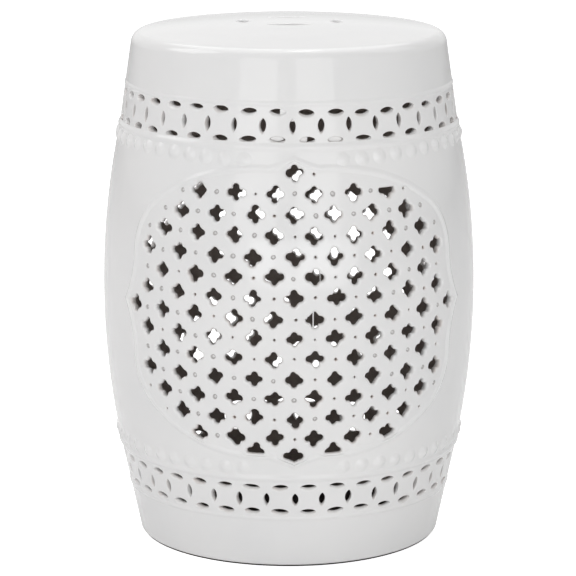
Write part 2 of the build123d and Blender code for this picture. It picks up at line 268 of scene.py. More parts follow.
def lens(rng, length, width, upright=False, sill=0.0, skew=0.0, steps=44):
    """Two arcs that meet in points. Its lower edge slopes down to the outside by the sill."""
    length *= 1 + rng.gauss(0, 0.035)
    width *= 1 + rng.gauss(0, 0.06)
    tilt = rng.gauss(0, 0.035) + (math.pi / 2 if upright else 0)
    radius = (length**2 + width**2) / (4 * width)
    half = math.asin(length / 2 / radius)
    t = np.linspace(-half, half, steps // 2 + 1)[:-1]
    low = np.stack([radius * np.sin(t), radius - width / 2 - radius * np.cos(t)], 1)
    base = smooth_loop(np.concatenate([low, -low]), 0.8)
    turn = np.array([[math.cos(tilt), math.sin(tilt)], [-math.sin(tilt), math.cos(tilt)]])
    base = base @ turn
    side = np.roll(base, -1, axis=0) - np.roll(base, 1, axis=0)
    out = np.stack([side[:, 1], -side[:, 0]], 1)
    out /= np.linalg.norm(out, axis=1)[:, None]
    drop = np.stack([np.zeros(steps), -sill * smooth_loop(np.clip(-out[:, 1], 0, 1), 1.5)], 1)

    def ring(offset, depth=0.0):
        slope = max(0.0, 1 - depth / SILL_DEPTH) ** 1.5
        return base + out * offset + drop * slope + (skew * depth, 0.0)

    return ring


def dot(rng, steps=18):
    phi = np.arange(steps) * 2 * math.pi / steps
    radius = DOT_RADIUS * (1 + rng.gauss(0, 0.12))
    wobble = 1 + 0.06 * np.cos(2 * (phi - rng.uniform(0, math.pi)))
    circle = np.stack([np.cos(phi) * wobble, np.sin(phi) * wobble], 1)
    return lambda offset, depth=0.0: circle * (radius + offset)


# Outline of a medallion, as distance from its middle along the wall
def arc_points(a, b, c, step):
    """Points on the arc from a through b to c, without c."""
    d = 2 * (a[0] * (b[1] - c[1]) + b[0] * (c[1] - a[1]) + c[0] * (a[1] - b[1]))
    ux = ((a @ a) * (b[1] - c[1]) + (b @ b) * (c[1] - a[1]) + (c @ c) * (a[1] - b[1])) / d
    uy = ((a @ a) * (c[0] - b[0]) + (b @ b) * (a[0] - c[0]) + (c @ c) * (b[0] - a[0])) / d
    centre = np.array([ux, uy])
    radius = np.linalg.norm(a - centre)
    start = math.atan2(*(a - centre)[::-1])
    sweep = (math.atan2(*(c - centre)[::-1]) - start + math.pi) % (2 * math.pi) - math.pi
    n = max(3, round(abs(sweep) * radius / step))
    t = start + sweep * np.arange(n) / n
    return centre + radius * np.stack([np.cos(t), np.sin(t)], 1)


def ogee_outline(step=1.6):
    quarter = []
    for arc in OGEE_QUARTER:
        a, b, c = (np.array([sx * HALF_ANGLE * BELLY_RADIUS, sz * HALF_HEIGHT]) for sx, sz in arc)
        quarter.append(arc_points(a, b, c, step))
    side = np.array([[HALF_ANGLE * BELLY_RADIUS, 0.0]])
    right_up = np.concatenate([*quarter, side])
    right_down = right_up[:-1][::-1] * (1, -1)
    right = np.concatenate([right_up, right_down])
    left = right[1:-1][::-1] * (-1, 1)
    return np.concatenate([right, left])[::-1]


OGEE = ogee_outline()


def frame_room(points):
    """How far inside the medallion's line each point lies."""
    gap = gap_to(points, OGEE)
    return np.where(inside(points, OGEE), gap, -gap)


def trimmed(ring, centre, edge, most=11.0):
    """The same piercing, kept clear of the medallion's frame. No piercing reaches out further than most."""
    if frame_room(np.array([centre]))[0] > 2 * most:
        return ring
    ray = ring(edge)
    ray = ray / np.linalg.norm(ray, axis=1)[:, None]
    reach = np.linspace(0.5, most, 13)
    probes = centre + ray[:, None, :] * reach[None, :, None]
    room = frame_room(probes.reshape(-1, 2)).reshape(len(ray), len(reach))
    room = np.minimum.accumulate(room, axis=1)
    rows = np.arange(len(ray))

    def cut(offset, depth=0.0):
        outline = ring(offset)
        need = FRAME_CLEAR + 0.7 * (edge - offset)
        at = np.clip((room > need).sum(1), 1, len(reach) - 1)
        near, far = room[rows, at - 1], room[rows, at]
        limit = reach[at - 1] + (near - need) / np.maximum(near - far, 1e-6) * (reach[1] - reach[0])
        size = np.linalg.norm(outline, axis=1)
        share = np.minimum(1, np.maximum(limit, reach[0]) / size)
        return outline * smooth_loop(share, 0.7)[:, None]

    return cut


class Hole:
    """A piercing with a rounded edge outside and a flare inside. A blind one ends at that depth."""

    def __init__(self, centre, ring, edge, flare, thin=1.0, blind=None, film=None, strands=(), sill=False):
        self.centre, self.ring, self.edge, self.flare = np.array(centre, float), ring, edge, flare
        self.thin, self.blind, self.film, self.strands, self.sill = thin, blind, film, strands, sill


# A pierced sheet of clay with its outside, inside, cut faces and glaze-rounded edges
def spread(border, holes, outlines, spacing):
    """Points for an even mesh inside the border and outside the piercings."""
    low, high = border.min(0), border.max(0)
    xs = np.arange(low[0], high[0], spacing)
    ys = np.arange(low[1], high[1], spacing * 0.866)
    grid = np.array([(x + (0.5 * spacing if k % 2 else 0), y) for k, y in enumerate(ys) for x in xs])
    grid = grid + np.random.default_rng(7).uniform(-0.12, 0.12, grid.shape) * spacing
    keep = np.ones(len(grid), bool)
    for hole, outline in zip(holes, outlines):
        ring = outline - hole.centre
        phi, reach = np.arctan2(ring[:, 1], ring[:, 0]), np.linalg.norm(ring, axis=1)
        order = np.argsort(phi)
        away = np.linalg.norm(grid - hole.centre, axis=1)
        near = np.where(away < reach.max() + spacing)[0]
        v = grid[near] - hole.centre
        limit = np.interp(np.arctan2(v[:, 1], v[:, 0]), phi[order], reach[order], period=2 * math.pi)
        keep[near] &= away[near] > limit + 0.45 * spacing
    for part in np.array_split(np.where(keep)[0], max(1, int(keep.sum()) // 2000)):
        keep[part] = (gap_to(grid[part], border) > 0.5 * spacing) & inside(grid[part], border)
    return grid[keep]


def pierced(skin, sheet, border, holes, thickness, spacing, weld=(), rims=()):
    outlines = [hole.centre + hole.ring(hole.edge) * (sheet.scale(hole.centre[1]), 1) for hole in holes]
    flat = np.concatenate([border, *outlines, spread(border, holes, outlines, spacing)])
    loops = [border, *outlines]
    ends = np.cumsum([len(loop) for loop in loops])
    ids = [np.arange(end - len(loop), end) for end, loop in zip(ends, loops)]
    edges, owner = [], np.full(len(flat), -1)
    for k, loop in enumerate(ids):
        edges += zip(loop.tolist(), np.roll(loop, -1).tolist())
        owner[loop] = k
    _, _, triangles, origins, _, _ = delaunay_2d_cdt([Vector(p) for p in flat], edges, [], 0, 1e-5)
    first = [o[0] for o in origins]
    swap = np.arange(len(flat))
    for kept, gone in weld:
        swap[gone] = kept
    out = sheet.normal(flat)
    front = skin.add(sheet.place(flat, 0.0), out)
    behind = flat.copy()
    for hole, loop in zip(holes, ids[1:]):
        behind[loop] = hole.centre + hole.ring(hole.flare, thickness) * (sheet.scale(hole.centre[1]), 1)
    back = skin.add(sheet.place(behind, thickness), -out)
    for triangle in triangles:
        corners = [first[i] for i in triangle]
        owners = {int(owner[c]) for c in corners}
        if len(owners) == 1 and owners != {-1}:
            # Between points of one loop: left out beyond the border and inside a piercing
            k = owners.pop()
            if inside(flat[corners].mean(0)[None], loops[k])[0] == (k > 0):
                continue
        c = swap[corners]
        skin.face(front[c], GLAZED)
        skin.face(back[c][::-1], BARE)
    for hole, loop in zip(holes, ids[1:]):
        cut_hole(skin, sheet, hole, front[loop], back[loop], thickness)
    for line in rims:
        outer = skin.add(sheet.place(flat[line], 0.0))
        inner = skin.add(sheet.place(flat[line], thickness))
        for i in range(len(line) - 1):
            skin.face((outer[i + 1], outer[i], inner[i], inner[i + 1]), BARE)


def ring_points(sheet, hole, offset, depth, size=1.0):
    p = hole.centre + hole.ring(offset, depth) * size * (sheet.scale(hole.centre[1]), 1)
    return sheet.place(p, depth)


def cut_normals(rings, k):
    """Ways out of a cut face along one of its rings, from the rings before and after it."""
    along = np.roll(rings[k], -1, axis=0) - np.roll(rings[k], 1, axis=0)
    n = np.cross(along, rings[k + 1] - rings[k - 1])
    return n / np.maximum(np.linalg.norm(n, axis=1), 1e-9)[:, None]


# Tilt of a cut's rounded edge, depth shares of its sill, and shares of flare and of thickness behind them.
# The last number is how thin the glaze is there.
EDGE_TILTS = ((22, 0.15), (45, 0.55), (68, 0.9), (90, 1.0))
SILL_STEPS, SILL_THIN = (0.33, 0.67, 1.0), 0.9
CUT_STEPS = ((0, 0.48, 0.8), (0.2, 0.66, 0.7), (0.57, 0.85, 0.6))


def cut_hole(skin, sheet, hole, outer_loop, inner_loop, thickness):
    if hole.blind is not None and hole.blind <= max(CLOSED_DEPTHS):
        dimple(skin, sheet, hole, outer_loop)
        skin.face(inner_loop[::-1], BARE)
        return
    levels = [(hole.edge, 0.0, 0.0)]
    for tilt, thin in EDGE_TILTS:
        f = math.radians(tilt)
        levels.append((hole.edge * (1 - math.sin(f)), hole.edge * (1 - math.cos(f)), thin))
    if hole.sill:
        levels += [(0.0, hole.edge + (SILL_DEPTH - hole.edge) * t, SILL_THIN) for t in SILL_STEPS]
    if hole.blind is None:
        levels += [(hole.flare * at, thickness * t, thin) for at, t, thin in CUT_STEPS]
        levels.append((hole.flare, thickness, 0.0))
    else:
        levels.append((0.0, hole.blind, 1.0))
    rings = [ring_points(sheet, hole, offset, depth) for offset, depth, _ in levels]
    previous = outer_loop
    for k in range(1, len(levels) - 1):
        ring = skin.add(rings[k], cut_normals(rings, k), levels[k][2] * hole.thin)
        skin.strip(previous, ring, GLAZED)
        previous = ring
    if hole.blind is not None:
        ring = skin.add(rings[-1])
        skin.strip(previous, ring, BARE)
        skin.face(ring, BARE)
        skin.face(inner_loop[::-1], BARE)
        return
    skin.strip(previous, inner_loop, BARE)
    if hole.film is not None:
        add_film(skin, sheet, hole)
    for strand in hole.strands:
        add_strand(skin, sheet, hole, *strand)


# A piercing that the glaze has closed: a round groove with a low middle is left.
# Each ring has its share of the way in and how dark the painted shade in the groove is there.
DIMPLE_RINGS = ((0.0, 0.0), (0.12, 0.15), (0.25, 0.6), (0.38, 0.8), (0.52, 0.55), (0.66, 0.2), (0.82, 0.0))


def dimple(skin, sheet, hole, outer_loop):
    def depth(share):
        return hole.blind * math.sin(0.8 * math.pi * share) ** 2

    rings = [ring_points(sheet, hole, hole.edge, depth(share), 1 - share) for share, _ in DIMPLE_RINGS]
    tip = sheet.place(hole.centre[None], depth(1.0))
    rings.append(np.repeat(tip, len(rings[0]), axis=0))
    previous = outer_loop
    for k, (_, painted_crease_shade) in enumerate(DIMPLE_RINGS[1:], 1):
        # Painted shade in the groove, stored below 0 with the glaze's thinness
        ring = skin.add(rings[k], cut_normals(rings, k), -painted_crease_shade * hole.thin)
        skin.strip(previous, ring, GLAZED)
        previous = ring
    middle = skin.add(tip, sheet.normal(hole.centre[None]))[0]
    for first, second in zip(previous, np.roll(previous, -1)):
        skin.face((middle, first, second), GLAZED)


# Glaze that ran together over part of a cut
def add_film(skin, sheet, hole, overlap=0.12, thickness=0.8):
    axis, low, high, depth, shrink = hole.film
    local = hole.ring(overlap, depth)
    share = local[:, axis] / np.abs(local[:, axis]).max()
    kept = local[(share >= low) & (share <= high)]
    middle = kept.mean(0)
    kept = kept[np.argsort(np.arctan2(kept[:, 1] - middle[1], kept[:, 0] - middle[0]))]
    hung = kept[np.argmax(kept[:, 1] - 0.4 * kept[:, 0])]
    kept = hung + (kept - hung) * shrink
    middle = kept.mean(0)
    scale = (sheet.scale(hole.centre[1]), 1)
    rows = []
    for size, lift in ((1.0, 0.5), (0.86, 0.18), (0.6, 0.0)):
        q = hole.centre + (middle + (kept - middle) * size) * scale
        rows.append(skin.add(sheet.place(q, depth - lift), None, 0.25))
    skin.strips(rows, GLAZED)
    skin.face(rows[-1], GLAZED)
    under = skin.add(sheet.place(hole.centre + kept * scale, depth + thickness))
    skin.strip(under, rows[0], BARE)
    skin.face(under[::-1], BARE)


# A thread of glaze from the top to the bottom of a piercing
def add_strand(skin, sheet, hole, x, half, depth, overlap=1.5):
    ring = hole.ring(0.0)
    near = ring[np.abs(ring[:, 0] - x) < 1.2]
    low, high = near[near[:, 1] < 0][:, 1].min() - overlap, near[near[:, 1] > 0][:, 1].max() + overlap
    turn = np.arange(STRAND_STEPS) * 2 * math.pi / STRAND_STEPS
    rows = []
    for t in np.linspace(0, 1, 9):
        thick = half * (0.75 + 1.0 * (2 * t - 1) ** 4)
        q = np.stack([x + thick * np.cos(turn), np.full(STRAND_STEPS, low + (high - low) * t)], 1)
        q = hole.centre + q * (sheet.scale(hole.centre[1]), 1)
        rows.append(skin.add(sheet.place(q, depth - thick * np.sin(turn)), None, 0.2))
    skin.strips([row[::-1] for row in rows], GLAZED)
    skin.face(rows[0], GLAZED)
    skin.face(rows[-1][::-1], GLAZED)


# Materials
def empty_tree(block):
    block.use_nodes = True
    block.node_tree.nodes.clear()
    return block.node_tree.nodes, block.node_tree.links


def new_material(name):
    material = bpy.data.materials.new(name)
    nodes, links = empty_tree(material)
    output = nodes.new("ShaderNodeOutputMaterial")
    shader = nodes.new("ShaderNodeBsdfPrincipled")
    links.new(shader.outputs["BSDF"], output.inputs["Surface"])
    coords = nodes.new("ShaderNodeTexCoord")
    return material, nodes, links, shader, coords


def noise(nodes, links, coords, scale, detail=2.0):
    node = nodes.new("ShaderNodeTexNoise")
    node.inputs["Scale"].default_value = scale
    node.inputs["Detail"].default_value = detail
    links.new(coords.outputs["Object"], node.inputs["Vector"])
    return node.outputs["Fac"]


def ramp(nodes, links, source, *stops):
    node = nodes.new("ShaderNodeValToRGB")
    for element, (at, colour) in zip(node.color_ramp.elements, stops):
        element.position = at
        element.color = (*colour, 1)
    links.new(source, node.inputs["Fac"])
    return node.outputs["Color"]


def mix(nodes, links, share, first, second):
    node = nodes.new("ShaderNodeMix")
    node.data_type = "RGBA"
    links.new(share, node.inputs[0])
    for value, socket in ((first, node.inputs[6]), (second, node.inputs[7])):
        if isinstance(value, tuple):
            socket.default_value = (*value, 1)
        else:
            links.new(value, socket)
    return node.outputs[2]


def math_node(nodes, links, kind, first, second):
    node = nodes.new("ShaderNodeMath")
    node.operation = kind
    for value, socket in ((first, node.inputs[0]), (second, node.inputs[1])):
        if isinstance(value, float):
            socket.default_value = value
        else:
            links.new(value, socket)
    return node.outputs[0]


def bump(nodes, links, shader, height, strength, distance):
    node = nodes.new("ShaderNodeBump")
    node.inputs["Strength"].default_value = strength
    node.inputs["Distance"].default_value = distance
    links.new(height, node.inputs["Height"])
    links.new(node.outputs["Normal"], shader.inputs["Normal"])


def glaze_material():
    material, nodes, links, shader, coords = new_material("white_glaze")
    cloud = noise(nodes, links, coords, 9.0, 3.0)
    tone = ramp(nodes, links, cloud, (0.3, (0.79, 0.79, 0.79)), (0.7, (0.835, 0.83, 0.825)))
    thin = nodes.new("ShaderNodeAttribute")
    thin.attribute_name = "thin"
    patch = noise(nodes, links, coords, 55.0)
    where = ramp(nodes, links, patch, (0.4, (0.0, 0.0, 0.0)), (0.68, (1.0, 1.0, 1.0)))
    share = math_node(nodes, links, "MULTIPLY", thin.outputs["Fac"], where)
    colour = mix(nodes, links, share, tone, (0.6, 0.525, 0.485))
    # Painted shade: below 0 the colour darkens to grey, in the grooves of closed dots
    painted_crease_shade = math_node(nodes, links, "MULTIPLY", thin.outputs["Fac"], -1.0)
    colour = mix(nodes, links, painted_crease_shade, colour, (0.36, 0.34, 0.33))
    links.new(colour, shader.inputs["Base Color"])
    gloss = ramp(nodes, links, cloud, (0.3, (0.05, 0.05, 0.05)), (0.7, (0.09, 0.09, 0.09)))
    links.new(gloss, shader.inputs["Roughness"])
    shader.inputs["IOR"].default_value = 1.5
    bump(nodes, links, shader, noise(nodes, links, coords, 26.0, 1.0), 0.12, 0.0012)
    return material


def clay_material():
    material, nodes, links, shader, coords = new_material("bare_clay")
    cloud = noise(nodes, links, coords, 30.0, 4.0)
    tone = ramp(nodes, links, cloud, (0.3, (0.42, 0.365, 0.335)), (0.7, (0.52, 0.46, 0.425)))
    links.new(tone, shader.inputs["Base Color"])
    shader.inputs["Roughness"].default_value = 0.85
    bump(nodes, links, shader, noise(nodes, links, coords, 400.0, 3.0), 0.25, 0.0006)
    return material


def felt_material():
    material, nodes, links, shader, coords = new_material("felt")
    fuzz = noise(nodes, links, coords, 900.0, 4.0)
    tone = ramp(nodes, links, fuzz, (0.3, (0.1, 0.085, 0.075)), (0.7, (0.19, 0.165, 0.145)))
    links.new(tone, shader.inputs["Base Color"])
    shader.inputs["Roughness"].default_value = 0.95
    return material


GLAZE, CLAY, FELT = glaze_material(), clay_material(), felt_material()


def finish_piece(obj, node):
    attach(obj, "root")
    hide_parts(node)


def half_turn(obj):
    """Takes a piece made for the front round to the back."""
    obj.data.transform(Matrix.Rotation(math.pi, 4, "Z"))
    return obj


# The two lattices were cut by eye and do not quite line up. The holes behind are a little smaller, the upper
# rows most. In front, two have a thread of glaze (place across, half width, depth) and one has no upper lobe
# (height of its top).
FRONT_SHIFT, REAR_SHIFT, REAR_DROP = math.radians(0.2), math.radians(1.18), -2.0
UPPER_ROWS, FRONT_SIZES, REAR_SIZES = 3, (1.0, 1.0), (0.98, 0.9)
FRONT_STRANDS = {(1, 2): ((4.2, 0.35, 2.4),), (1, 0): ((-0.9, 0.75, 2.6),)}
FRONT_CAPS = {(5, 6): 1.8}


def front_height(row, column):
    return row * ROW_PITCH + (LOWEST_LIFT if row == LOWEST_ROW else 0.0)


def rear_height(row, column):
    """Rows widen upwards and draw together at the top, bow up at one side, and some sag."""
    level = row * 17.24 + row**2 * 0.22 - 3.5 if row < 5 else 69.0 + (row - 4) * 15.6
    bow = min(5.0, 0.55 * (column - 4) ** 2) if row >= 0 and column > 4 else 0.0
    sag = {3: 2.0, 4: 3.5, 7: 4.0}.get(row, 0.0) + (9.0 if row == LOWEST_ROW and column else 0.0)
    return level + bow - sag


# Half-shell walls with the quatrefoil lattice
def lattice(seed, shift, drop, height, sizes, strands, caps):
    rng = random.Random(seed)
    rows = range(LOWEST_ROW, 1 - LOWEST_ROW)
    places = []
    for row in rows:
        reach = HOLE_REACH[abs(row)]
        places += [(column, row, height(row, column)) for column in range(-reach, reach + 1, 2)]
    for column in (-HALF_HOLE_COLUMN, HALF_HOLE_COLUMN):
        places.append((column, LOWEST_ROW, height(LOWEST_ROW, column) + HALF_HOLE_LIFT))
    crosses, dots = [], []
    for column, row, up in places:
        x = (column * COLUMN_ANGLE + shift) * BELLY_RADIUS + rng.gauss(0, 0.5)
        z = Z_LATTICE + up + drop + rng.gauss(0, 0.4)
        ring = quatrefoil(rng, sizes[row >= UPPER_ROWS] * (1 + rng.gauss(0, 0.03)))
        if (column, row) in caps:
            ring = capped(ring, caps[column, row])
        ring = trimmed(ring, (x - shift * BELLY_RADIUS, z - drop - Z_MEDALLION), HOLE_EDGE)
        threads = strands.get((column, row), ())
        crosses.append(Hole((x, z), ring, HOLE_EDGE, HOLE_FLARE, 0.6, strands=threads))
    for row in rows:
        reach = DOT_REACH[abs(row)]
        columns = list(range(-reach, reach + 1, 2))
        if row == LOWEST_ROW:
            columns.append(LOW_DOT_COLUMN)
        for column in columns:
            x = (column * COLUMN_ANGLE + shift) * BELLY_RADIUS + rng.gauss(0, 0.5)
            z = Z_LATTICE + height(row, column) + drop + rng.gauss(0, 0.5)
            ring = dot(rng)
            open_share = 0.3 if column < -1 else 0.7 if column < 4 else 0.5
            blind = PIT_DEPTH if rng.random() < open_share else rng.uniform(*CLOSED_DEPTHS)
            room = frame_room(np.array([(x - shift * BELLY_RADIUS, z - drop - Z_MEDALLION)]))[0]
            gap = min(np.hypot(*(cross.centre - (x, z))) for cross in crosses)
            if room > DOT_FRAME_ROOM and gap > DOT_HOLE_ROOM:
                dots.append(Hole((x, z), ring, DOT_EDGE, DOT_EDGE, 1.0, blind))
    return crosses + dots


def wall_piece(name, holes):
    half = math.pi / 2 * BELLY_RADIUS
    across = np.linspace(-half, half, 131)
    rise = np.linspace(Z_WALL, Z_UPPER_BAND, 73)
    bottom = np.stack([across, np.full_like(across, Z_WALL)], 1)
    right = np.stack([np.full_like(rise, half), rise], 1)
    top = bottom[::-1] * (1, 0) + (0, Z_UPPER_BAND)
    left = right[::-1] * (-1, 1)
    border = np.concatenate([bottom[:-1], right[:-1], top[:-1], left[:-1]])
    skin = Skin()
    rim = np.append(np.arange(len(border)), 0)
    pierced(skin, DRUM, border, holes, WALL, WALL_SPACING, rims=(rim,))
    return skin.build(name)


FRONT_HOLES = lattice(11, FRONT_SHIFT, 0.0, front_height, FRONT_SIZES, FRONT_STRANDS, FRONT_CAPS)
REAR_HOLES = lattice(23, REAR_SHIFT, REAR_DROP, rear_height, REAR_SIZES, {}, {})
finish_piece(wall_piece("front_wall_shell", FRONT_HOLES), "front_wall")
finish_piece(half_turn(wall_piece("rear_wall_shell", REAR_HOLES)), "rear_wall")


# Medallion frames, rings and bosses: raised relief whose edges run out under the glaze
def bell(x, half, rise):
    return rise * np.cos(np.clip(x / half, -1, 1) * math.pi / 2) ** 2


def frame_piece(name, holes, shift, drop, longest_miter=1.7, least_half=1.0):
    """The moulding along the medallion's line, narrower inside where a piercing comes near."""
    n = len(OGEE)
    ahead = np.roll(OGEE, -1, axis=0) - OGEE
    ahead /= np.linalg.norm(ahead, axis=1)[:, None]
    normal = np.stack([ahead[:, 1], -ahead[:, 0]], 1)
    miter = normal + np.roll(normal, 1, axis=0)
    miter /= (miter * normal).sum(1)[:, None]
    miter /= np.maximum(np.linalg.norm(miter, axis=1) / longest_miter, 1)[:, None]
    middle = np.array([shift * BELLY_RADIUS, drop + Z_MEDALLION])
    rims = [hole.centre + hole.ring(hole.edge) * (DRUM.scale(hole.centre[1]), 1) for hole in holes]
    rims = np.concatenate(rims) - middle
    room = np.array([np.linalg.norm(rims - p, axis=1).min() for p in OGEE])
    room = np.minimum.reduce([np.roll(room, k) for k in (-1, 0, 1)])
    inner = smooth_loop(np.clip(room - 0.1, least_half, FRAME_HALF), 1.0)
    skin = Skin()
    rows, sides = [], []
    for x in np.linspace(-1, 1, 15):
        half = inner if x < 0 else np.full(n, FRAME_HALF)
        p = OGEE + miter * (x * half)[:, None] + middle
        rows.append(skin.add(DRUM.place(p, CORD_SINK - bell(x, 1.0, FRAME_RISE))))
        if abs(x) == 1:
            sides.append(p)
    for first, second in zip(rows[1:], rows[:-1]):
        skin.strip(first, second, GLAZED)
    under = [skin.add(DRUM.place(p, LUTED)) for p in sides]
    skin.strips([rows[0], *under, rows[-1]], BARE)
    return skin.build(name)


front_frame = frame_piece("front_frame_moulding", FRONT_HOLES, FRONT_SHIFT, 0.0)
finish_piece(front_frame, "front_medallion_frame")
rear_frame = frame_piece("rear_frame_moulding", REAR_HOLES, REAR_SHIFT, REAR_DROP)
finish_piece(half_turn(rear_frame), "rear_medallion_frame")


def revolved(skin, profile, kind, normals=None):
    a = np.arange(TURN_STEPS) * 2 * math.pi / TURN_STEPS

    def turned(r, z):
        return np.stack([r * np.sin(a), -r * np.cos(a), np.full(TURN_STEPS, z)], 1)

    rows = []
    for k, point in enumerate(profile):
        rows.append(skin.add(turned(*point), None if normals is None else turned(*normals[k])))
    skin.strips(rows, kind)


def ring_piece(name, z, half, rise):
    skin = Skin()
    x = np.linspace(-1, 1, 13) * half
    top = [(float(outer_radius(z + d)) + float(bell(d, half, rise)) - CORD_SINK, z + d) for d in x]
    revolved(skin, top, GLAZED)
    low, high = top[0], top[-1]
    revolved(skin, [high, (high[0] - LUTED, high[1]), (low[0] - LUTED, low[1]), low], BARE)
    return skin.build(name)


finish_piece(ring_piece("lower_bead_cord", Z_LOWER_BAND, BEAD_HALF, BEAD_RISE), "lower_bead")
finish_piece(ring_piece("lower_ridge_cord", Z_WALL, RIDGE_HALF, RIDGE_RISE), "lower_ridge_ring")
finish_piece(ring_piece("upper_ridge_cord", Z_UPPER_BAND, RIDGE_HALF, RIDGE_RISE), "upper_ridge_ring")
finish_piece(ring_piece("upper_bead_cord", Z_SHOULDER, BEAD_HALF, BEAD_RISE), "upper_bead")


# Rings of a boss from its edge to near its tip, as shares of its radius
BOSS_RINGS = (1.0, 0.93, 0.86, 0.78, 0.7, 0.6, 0.5, 0.38, 0.25, 0.12)


def upper_wave(a):
    """How far the upper row lies above or below its level round the drum."""
    return min(1.2, 5.5 * math.sin(a) ** 2 - 2.1)


def boss_piece(name, z, start, seed):
    rng = random.Random(seed)
    skin = Skin()
    phi = np.arange(BOSS_STEPS) * 2 * math.pi / BOSS_STEPS
    for k in range(BOSSES_PER_TURN):
        a = (k + 0.5) * (2 * math.pi / BOSSES_PER_TURN)
        if not BOSS_GAP < a - start < math.pi - BOSS_GAP:
            continue
        wave = upper_wave(a) if z > Z_BELLY else 0.0
        centre = np.array([a * BELLY_RADIUS + rng.gauss(0, 0.35), z + wave + rng.gauss(0, 0.3)])
        size = BOSS_SKIRT * (1 + rng.gauss(0, 0.025))
        rise = BOSS_RISE * (1 + rng.gauss(0, 0.06))
        circle = np.stack([np.cos(phi) * DRUM.scale(z), np.sin(phi)], 1) * size
        rows = []
        for share in BOSS_RINGS:
            lift = rise * (1 - share**2) ** 2 - BOSS_SINK
            rows.append(skin.add(DRUM.place(centre + circle * share, -lift)))
        tip = skin.add(DRUM.place(centre[None], BOSS_SINK - rise))[0]
        skin.strips(rows, GLAZED)
        for first, second in zip(rows[-1], np.roll(rows[-1], -1)):
            skin.face((first, second, tip), GLAZED)
        edge = skin.add(DRUM.place(centre + circle, BOSS_SINK))
        sunk = skin.add(DRUM.place(centre + circle, LUTED))
        skin.strip(sunk, edge, BARE)
        skin.face(sunk[::-1], BARE)
    return skin.build(name)


for row, z, seed in (("lower", Z_WALL + BOSS_INSET, 31), ("upper", Z_UPPER_BAND - BOSS_INSET, 37)):
    finish_piece(boss_piece(row + "_right_nail_heads", z, 0.0, seed), row + "_right_bosses")
    finish_piece(boss_piece(row + "_left_nail_heads", z, math.pi, seed + 1), row + "_left_bosses")


# Rings pierced with the coin fret
def fret_border(low, high, coins, aside=6.2, near=6.5, far=12.5):
    """An unrolled ring, slit beside an upright lens: outline, points that meet there, rims and left end."""
    middle = (low + high) / 2
    width = 2 * math.pi * BELLY_RADIUS
    left = -math.pi * BELLY_RADIUS + (0 if coins % 2 == 0 else width / coins / 2)
    bend = [(0, low), (0, middle - far), (aside, middle - near)]
    bend += [(aside, middle + near), (0, middle + far), (0, high)]
    slit = []
    for (x0, z0), (x1, z1) in zip(bend[:-1], bend[1:]):
        n = max(1, round(math.hypot(x1 - x0, z1 - z0) / 2.5))
        slit += [(left + x0 + (x1 - x0) * t / n, z0 + (z1 - z0) * t / n) for t in range(n)]
    slit.append((left, high))
    slit = np.array(slit)
    steps = 8 * coins
    along = left + width * np.arange(1, steps) / steps
    lower = np.stack([along, np.full_like(along, low)], 1)
    upper = np.stack([along[::-1], np.full_like(along, high)], 1)
    border = np.concatenate([slit[:1], lower, slit + (width, 0), upper, slit[::-1][:-1]])
    m, k = len(lower), len(slit)
    left_ids = [0] + [len(border) - 1 - i for i in range(k - 2)] + [m + 1 + k + m]
    right_ids = range(m + 1, m + 1 + k)
    rims = (np.arange(m + 2), np.arange(m + k, m + k + m + 2))
    return border, list(zip(left_ids, right_ids)), rims, left


def fret_piece(name, low, high, coins, cuts, seed, phase, stretch, slope, films):
    """Coins cut by eye: a little wider apart in front, and the upper row sloping."""
    rng = random.Random(seed)
    border, weld, rims, left = fret_border(low, high, coins)
    upright, flat, sill = cuts

    def spot(turn, up):
        a = (turn * 2 * math.pi / coins + math.pi) % (2 * math.pi) - math.pi
        a = a + 2 * math.pi if a < left / BELLY_RADIUS + 0.01 else a
        x = (a + stretch * math.sin(a) + phase * (0.5 + 0.5 * math.cos(a))) * BELLY_RADIUS
        fall = slope * math.sin(2 * a) if up > 0 else 0.0
        z = (low + high) / 2 + FRET_ROW_OFFSET * up - fall
        return x + rng.gauss(0, 0.4), z + rng.gauss(0, 0.3)

    holes = []
    for c in range(coins):
        order = c if c < coins / 2 else c - coins
        for turn, up in ((c, 0), (c + 0.5, -1), (c + 0.5, 1)):
            ring = lens(rng, *(flat if up else upright), not up, sill, LENS_SKEW)
            film = films.get((order, up))
            holes.append(Hole(spot(turn, up), ring, LENS_EDGE, LENS_FLARE, 0.45, film=film, sill=True))
    skin = Skin()
    pierced(skin, DRUM, border, holes, WALL, FRET_SPACING, weld, rims)
    return skin.build(name)


# Length and width of the upright and of the flat lenses, and the height of their sills
LOWER_CUTS = ((11.0, 5.2), (14.2, 3.8), 2.1)
UPPER_CUTS = ((11.8, 5.2), (14.4, 4.6), 1.9)
# Films by coin and row: kept along x (0) or z (1) from and to a share of the lens, its depth and its size
UPPER_FILMS = {
    (-1, -1): (0, -1.0, 1.0, 2.6, 0.86),
    (0, -1): (0, -1.0, 0.05, 2.2, 1.0),
    (1, -1): (0, -1.0, 1.0, 1.6, 0.9),
    (-1, 1): (0, 0.2, 1.0, 1.8, 1.0),
    (0, 0): (1, 0.55, 1.0, 1.5, 1.0),
}
lower_fret = fret_piece(
    "lower_coin_fret", Z_LOWER_BAND, Z_WALL, LOWER_COINS, LOWER_CUTS,
    seed=41, phase=0.006, stretch=0.02, slope=0.0, films={},
)
finish_piece(lower_fret, "lower_fret_ring")
upper_fret = fret_piece(
    "upper_coin_fret", Z_UPPER_BAND, Z_SHOULDER, UPPER_COINS, UPPER_CUTS,
    seed=43, phase=-0.0085, stretch=0.017, slope=1.6, films=UPPER_FILMS,
)
finish_piece(upper_fret, "upper_fret_ring")


